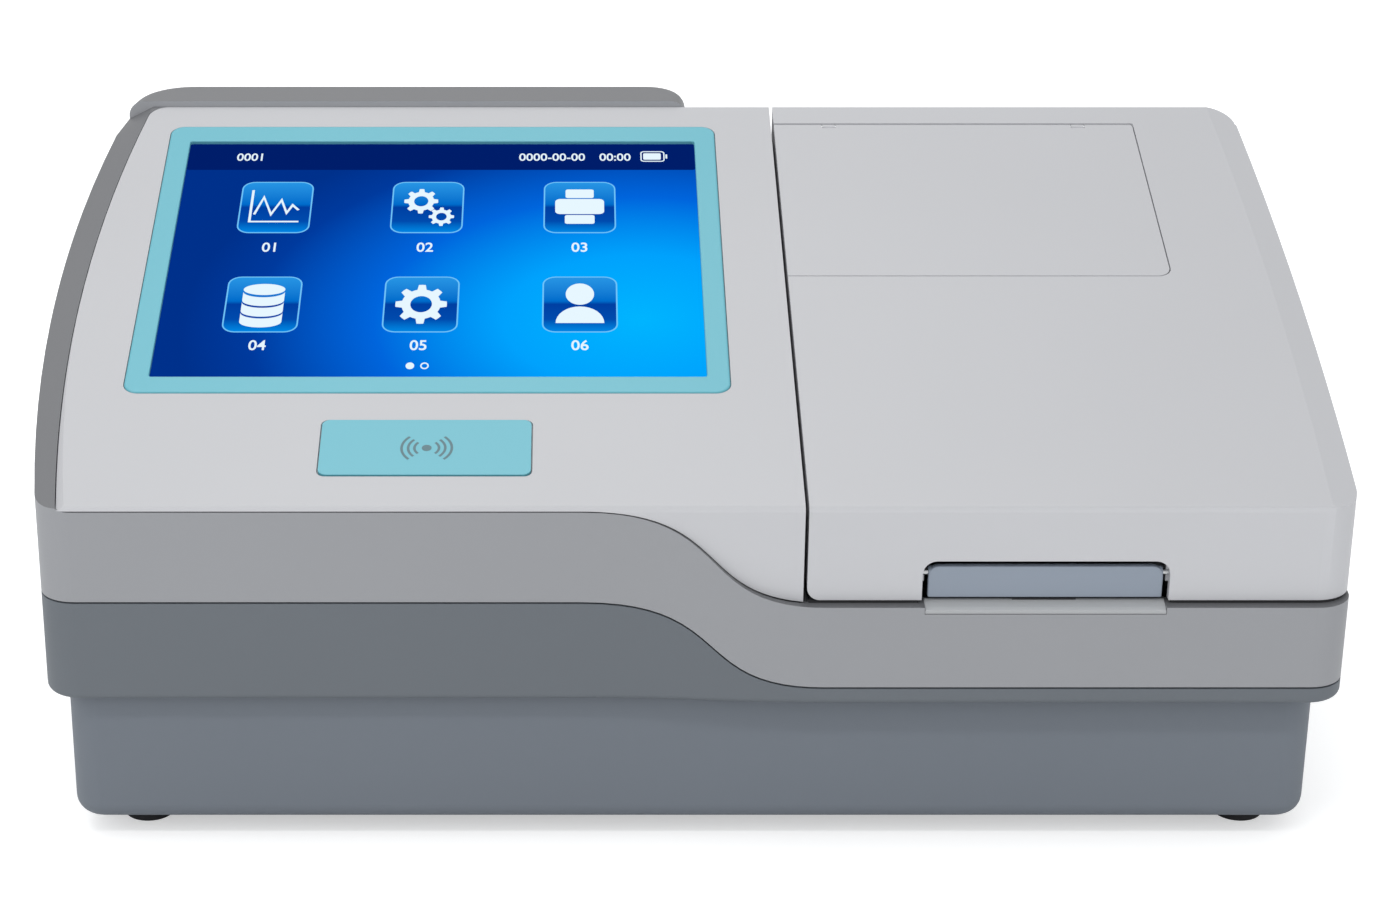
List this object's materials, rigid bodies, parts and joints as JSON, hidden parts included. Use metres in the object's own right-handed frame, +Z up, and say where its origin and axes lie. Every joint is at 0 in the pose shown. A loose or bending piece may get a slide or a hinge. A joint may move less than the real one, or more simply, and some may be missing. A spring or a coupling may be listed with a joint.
{
  "type": "microplate reader",
  "caption": "Wedge-shaped bench microplate reader with a sloping top, a framed touchscreen, and a hinged lid with a service hatch over a sliding plate carrier.",
  "frame": {"origin": "on the bench under the middle of the instrument, at the bottom of the feet", "axes": "+X to the right seen from the front, +Y to the back, +Z up"},
  "size_m": [0.465, 0.28, 0.205],
  "materials": {
    "light_plastic": "fine satin moulded",
    "mid_plastic": "fine satin moulded",
    "slate_plastic": "fine satin moulded",
    "teal_plastic": "satin moulded",
    "paddle_plastic": "satin moulded",
    "screen_glass": "polished cover glass",
    "screen_module": "lit display",
    "black_rubber": "matte",
    "circuit_board": "solder mask",
    "ground_steel": "ground",
    "sheet_steel": "zinc plated",
    "plain_aluminium": "machined",
    "dark_aluminium": "anodised",
    "bearing_bronze": "sintered",
    "black_plastic": "moulded",
    "motor_paint": "satin",
    "clear_glass": "polished",
    "filter_glass": "coated"
  },
  "bodies": {
    "housing": {"base_tub": "slate_plastic", "lower_skirt": "slate_plastic", "upper_shell": "mid_plastic", "top_cover": "light_plastic", "display_bezel": "teal_plastic", "display_glass": "screen_glass", "display_module": "screen_module", "display_board": "circuit_board", "contactless_pad": "teal_plastic", "antenna_board": "circuit_board", "latch_keeper": "sheet_steel", "hinge_bases": "sheet_steel", "hinge_pins": "ground_steel", "bay_gasket": "black_rubber", "chassis_plate": "sheet_steel", "bay_wall": "sheet_steel", "guide_rods": "ground_steel", "rod_blocks": "plain_aluminium", "drive_belt": "black_rubber", "idler_axle": "ground_steel", "carrier_motor": "motor_paint", "home_sensor": "black_plastic", "head_bracket": "sheet_steel", "measuring_head": "dark_aluminium", "lens_barrels": "black_plastic", "detector_board": "circuit_board", "filter_bracket": "sheet_steel", "filter_motor": "motor_paint", "light_guide": "black_rubber", "lamp_housing": "plain_aluminium", "condenser_lens": "clear_glass", "lamp": "clear_glass", "main_board": "circuit_board", "power_supply": "plain_aluminium", "rear_panel": "sheet_steel", "panel_screws": "ground_steel", "power_inlet": "black_plastic", "switch_frame": "black_plastic", "fan_frame": "black_plastic", "usb_ports": "sheet_steel", "network_port": "sheet_steel", "serial_port": "sheet_steel", "feet": "black_rubber"},
    "lid": {"lid_shell": "light_plastic", "hinge_arms": "sheet_steel", "hatch_pins": "ground_steel", "latch_pin": "ground_steel"},
    "hatch": {"lid_hatch": "light_plastic"},
    "latch": {"latch_paddle": "paddle_plastic"},
    "carrier": {"plate_carrier": "dark_aluminium", "carrier_bushes": "bearing_bronze"},
    "belt_drive": {"drive_pulley": "plain_aluminium"},
    "belt_idler": {"idler_pulley": "plain_aluminium"},
    "filter_turret": {"filter_wheel": "dark_aluminium", "filters": "filter_glass"},
    "fan": {"fan_rotor": "black_plastic"},
    "mains_rocker": {"power_rocker": "black_plastic"}
  },
  "joints": [
    {"name": "lid_hinge", "type": "hinge", "parent": "housing", "child": "lid", "pos_m": [0, 0.12239, 0.1865], "axis": [-1, 0, 0], "range_deg": [0, 75]},
    {"name": "hatch_hinge", "type": "hinge", "parent": "lid", "child": "hatch", "pos_m": [0, 0.09986, 0.19801], "axis": [-1, 0, 0], "range_deg": [0, 100]},
    {"name": "latch_pivot", "type": "hinge", "parent": "lid", "child": "latch", "pos_m": [0.124, -0.1329, 0.108], "axis": [-1, 0, 0], "range_deg": [0, 25], "stiffness_Nm_per_rad": 0.03},
    {"name": "carrier_slide", "type": "slide", "parent": "housing", "child": "carrier", "axis": [0, 1, 0], "range_m": [0, 0.105]},
    {"name": "drive_spin", "type": "hinge", "parent": "housing", "child": "belt_drive", "pos_m": [0.05, 0.096, 0.073], "axis": [0, 0, 1], "range_deg": [0, 945]},
    {"name": "idler_spin", "type": "hinge", "parent": "housing", "child": "belt_idler", "pos_m": [0.05, -0.116, 0.073], "axis": [0, 0, 1], "range_deg": [0, 945]},
    {"name": "turret_spin", "type": "hinge", "parent": "housing", "child": "filter_turret", "pos_m": [0.128, 0.06, 0.158], "axis": [1, 0, 0], "continuous": true},
    {"name": "fan_spin", "type": "hinge", "parent": "housing", "child": "fan", "pos_m": [-0.108, 0.118, 0.036], "axis": [0, 1, 0], "continuous": true},
    {"name": "rocker_tip", "type": "hinge", "parent": "housing", "child": "mains_rocker", "pos_m": [0.092, 0.1245, 0.036], "axis": [-1, 0, 0], "range_deg": [0, 14]}
  ],
  "couplings": [
    {"joint": "drive_spin", "follows": "carrier_slide", "rad_per_m": 156.25},
    {"joint": "idler_spin", "follows": "carrier_slide", "rad_per_m": 156.25}
  ]
}
